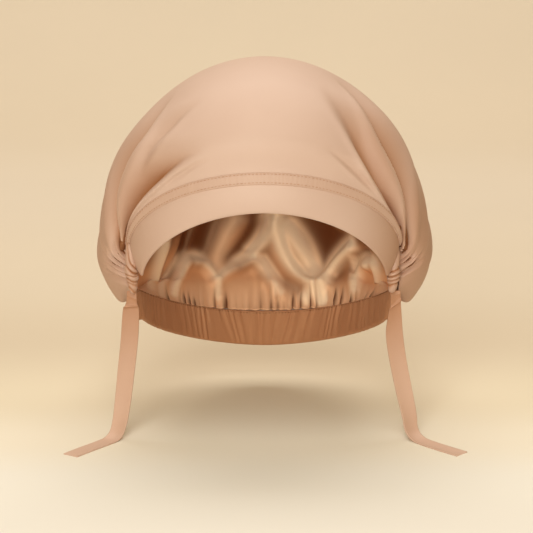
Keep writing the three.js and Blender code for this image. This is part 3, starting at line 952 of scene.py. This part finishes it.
def make_gather(bunch, material):
    """A ruched bunch: cloth wrapped round, with creases that sink toward the face."""
    rings, sides = BUNCH_GRID
    rise, turn = np.meshgrid(np.linspace(-1, 1, rings), np.linspace(0, 2 * np.pi, sides), indexing="ij")
    rise = rise * 0.9995
    ring = (1 - np.abs(rise) ** 2.6) ** 0.5
    side, depth = np.cos(turn), -np.sin(turn)
    inner = side * -bunch["side"]
    press = np.zeros_like(rise)
    for crease in GATHER_CREASES[bunch["name"]]:
        share = (inner + 1) / 2
        line = crease["outer"] * (1 - share) + crease["inner"] * share - crease["sag"] * (1 - inner**2)
        off = (rise - line) / crease["width"]
        press += crease["depth"] * np.exp(-np.abs(off) ** 1.3)
    swell = 1 + 0.04 * wander(rise, 12, 61) - press
    x = side * ring * swell * bunch["wide"]
    y = depth * ring * swell * bunch["deep"] * np.where(depth > 0, BUNCH_BACK, 1)
    y = y + BUNCH_LEAN * smooth(0.4, 1, rise)
    z = rise * bunch["tall"] + BUNCH_TOP * smooth(0.5, 1, rise) ** 1.5
    z = z - BUNCH_FOOT * smooth(0.6, 1, -rise)
    cos, sin = math.cos(bunch["tip"]), math.sin(bunch["tip"])
    spot = np.stack([x * cos + z * sin, y, z * cos - x * sin], -1)
    spot = spot + [bunch["x"], bunch["y"], bunch["z"]]
    piece = grid_object(bunch["name"] + "_silk", spot)
    # Painted shade over the whole bunch, deeper in its creases
    mark(piece, hollow=np.clip(BUNCH_SHADE + 2.4 * press, 0, 1))
    seal(piece)
    dress(piece, "silk", material, bunch["name"])


def make_tie(name, material):
    """A ribbon that hangs from its bunch, bends at the floor and lies there to its end."""
    rows = TIE_ROWS[name]
    rows = [dict(row, at=i / (len(rows) - 1)) for i, row in enumerate(rows)]
    steps, threads = TIE_GRID
    at = np.linspace(0, 1, steps)
    spot = np.stack([column(rows, key, at) for key in ("x", "y", "z")], -1)
    yaw = np.radians(column(rows, "yaw", at))
    share = np.clip(column(rows, "share", at), 0, 1)
    wide = np.stack([np.cos(yaw), np.sin(yaw), 0 * yaw], -1)
    face = unit(np.cross(unit(np.gradient(spot, axis=0)), wide))
    place = np.linspace(-1, 1, threads)
    lift = TIE_WALL / 2 - TIE_CURL * place[None, :] ** 2 * share[:, None]
    for crease in TIE_CREASES[name]:
        off = (spot[:, 2, None] - crease["z"] - crease["slant"] * place) / crease["width"]
        lift = lift - crease["depth"] * np.exp(-(off**2))
    points = spot[:, None] + wide[:, None] * (place[None, :, None] * TIE_WIDTH / 2 * share[:, None, None])
    points = points - face[:, None] * lift[..., None]
    piece = grid_object(name + "_ribbon", points[:, ::-1])
    # Painted shade on the tie's upper part, fading along it
    mark(piece, hollow=TIE_TOP_SHADE * (1 - smooth(0.1, 0.55, at))[:, None] * np.ones(len(place)))
    solidify(piece, TIE_WALL)
    apply_modifiers(piece)
    dress(piece, "ribbon", material, name)
    name.replace("tie", "gather") + "_silk"


def seam_line(upper, lower, way, reach, lift):
    """A line along a strip, lifted off it."""
    points = strip(upper, lower, way - 0.05, way + 0.05, 3, 700, reach)
    return (points + outward(points) * lift)[1]


def make_stitches(row, material):
    """A row of machine stitches along a seam, each a small raised grain of thread."""
    line = seam_line(row["upper"], row["lower"], row["way"], row["reach"], row["lift"])
    mesh = bpy.data.meshes.new(row["name"])
    count = len(line)
    edges = np.stack([np.arange(count - 1), np.arange(1, count)], -1)
    mesh.from_pydata((line * MM).tolist(), edges.tolist(), [])
    piece = bpy.data.objects.new(row["name"], mesh)
    bpy.context.collection.objects.link(piece)
    maker = Maker(row["name"], spacing=STITCH_STEP * MM, length=STITCH_LENGTH * MM,
                  thread=STITCH_THREAD * MM, seed=5, finish=material)
    curve = maker.node("GeometryNodeMeshToCurve", Mesh=maker.size("Geometry"))
    points = {"mode": "LENGTH"}
    spots = maker.node("GeometryNodeCurveToPoints", points, Curve=curve, Length=maker.size("spacing"))
    turns = Socket(maker, spots.socket.node.outputs["Rotation"])
    grain = maker.node("GeometryNodeMeshUVSphere", Segments=8, Rings=5, Radius=0.5)
    thread = maker.size("thread")
    size = maker.node("ShaderNodeCombineXYZ", X=thread, Y=thread, Z=maker.size("length"))
    grain = maker.node("GeometryNodeTransform", Geometry=grain, Scale=size)
    uneven = maker.node("FunctionNodeRandomValue", {"data_type": "FLOAT"}, output=1,
                        inputs={2: 0.8, 3: 1.15, 8: maker.size("seed")})
    stitches = maker.node("GeometryNodeInstanceOnPoints", Points=spots, Instance=grain,
                          Rotation=turns, Scale=uneven)
    maker.finish(piece, stitches)
    dress(piece, row["slot"], None)


# Stage and light
def add_stage():
    """One sheet of paper: the floor, a wide sweep and the wall, its colour carrying painted shade behind
    the bonnet.
    """
    finish = Finish("backdrop_paper")
    place = finish.node("ShaderNodeTexCoord", output=3)
    cloud = finish.node("ShaderNodeTexNoise", Vector=place, Scale=2.4, Detail=4.0)
    sheet = finish.node("ShaderNodeUVMap", {"uv_map": "cloth"})
    way = finish.node("ShaderNodeSeparateXYZ", output=1, Vector=sheet)
    first, last = PAPER_AND_SHADE[0]["behind"], PAPER_AND_SHADE[-1]["behind"]
    behind = way - STAGE_HALF
    share = finish.node("ShaderNodeMapRange", inputs={0: behind, 1: first, 2: last, 3: 0.0, 4: 1.0})
    stops = []
    for row in PAPER_AND_SHADE:
        tone = (row["red"], row["green"], row["blue"], 1)
        stops.append(((row["behind"] - first) / (last - first), tone))
    # Painted shade and a painted shadow behind the bonnet, laid into the paper's colour by its place
    paper_and_shade = finish.ramp(share, stops)
    paper_and_shade = finish.mix(cloud * PAPER_MOTTLE, paper_and_shade, (0, 0, 0, 1))
    finish.set(Base_Color=paper_and_shade, Roughness=0.9, Specular_IOR_Level=0.1)
    turn = np.linspace(0, math.pi / 2, SWEEP_STEPS)
    y = np.concatenate([[-STAGE_HALF], WALL_Y - SWEEP_RADIUS + SWEEP_RADIUS * np.sin(turn), [WALL_Y]])
    z = np.concatenate([[0], SWEEP_RADIUS - SWEEP_RADIUS * np.cos(turn), [WALL_TOP]]) + FLOOR_Z * MM
    x = np.array([-STAGE_HALF, STAGE_HALF])
    points = np.stack(np.broadcast_arrays(x[None, :], y[:, None], z[:, None]), -1) / MM
    stage = grid_object("backdrop", points)
    stage.data.materials.append(finish.material)


def area_light(name, place, aim, size, power, tint):
    data = bpy.data.lights.new(name, "AREA")
    data.shape = "RECTANGLE"
    data.size, data.size_y = size
    data.energy = power
    data.color = tint
    light = bpy.data.objects.new(name, data)
    light.location = place
    light.visible_camera = False
    light.rotation_euler = (Vector(aim) - Vector(place)).to_track_quat("-Z", "Y").to_euler()
    bpy.context.collection.objects.link(light)


def add_light():
    for light in LIGHTS:
        area_light(**light)
    world = bpy.data.worlds.new("studio")
    world.use_nodes = True
    backdrop = world.node_tree.nodes["Background"]
    backdrop.inputs["Color"].default_value = ROOM_TINT
    backdrop.inputs["Strength"].default_value = ROOM_STRENGTH
    bpy.context.scene.world = world
    bpy.context.scene.view_settings.view_transform = "Standard"


add_camera()
cloths = {finish["name"]: woven(**finish) for finish in FINISHES}
make_crown(cloths["champagne_silk"])
make_lining(cloths["tan_satin"])
make_front_band(cloths["champagne_silk"])
make_casing(cloths["champagne_casing"])
make_nape_band(cloths["tan_satin_band"])
for bunch in GATHERS:
    make_gather(bunch, cloths["champagne_silk"])
for name in TIE_ROWS:
    make_tie(name, cloths["champagne_ribbon"])
for row in STITCH_ROWS:
    make_stitches(row, cloths[row["finish"]])
add_stage()
add_light()
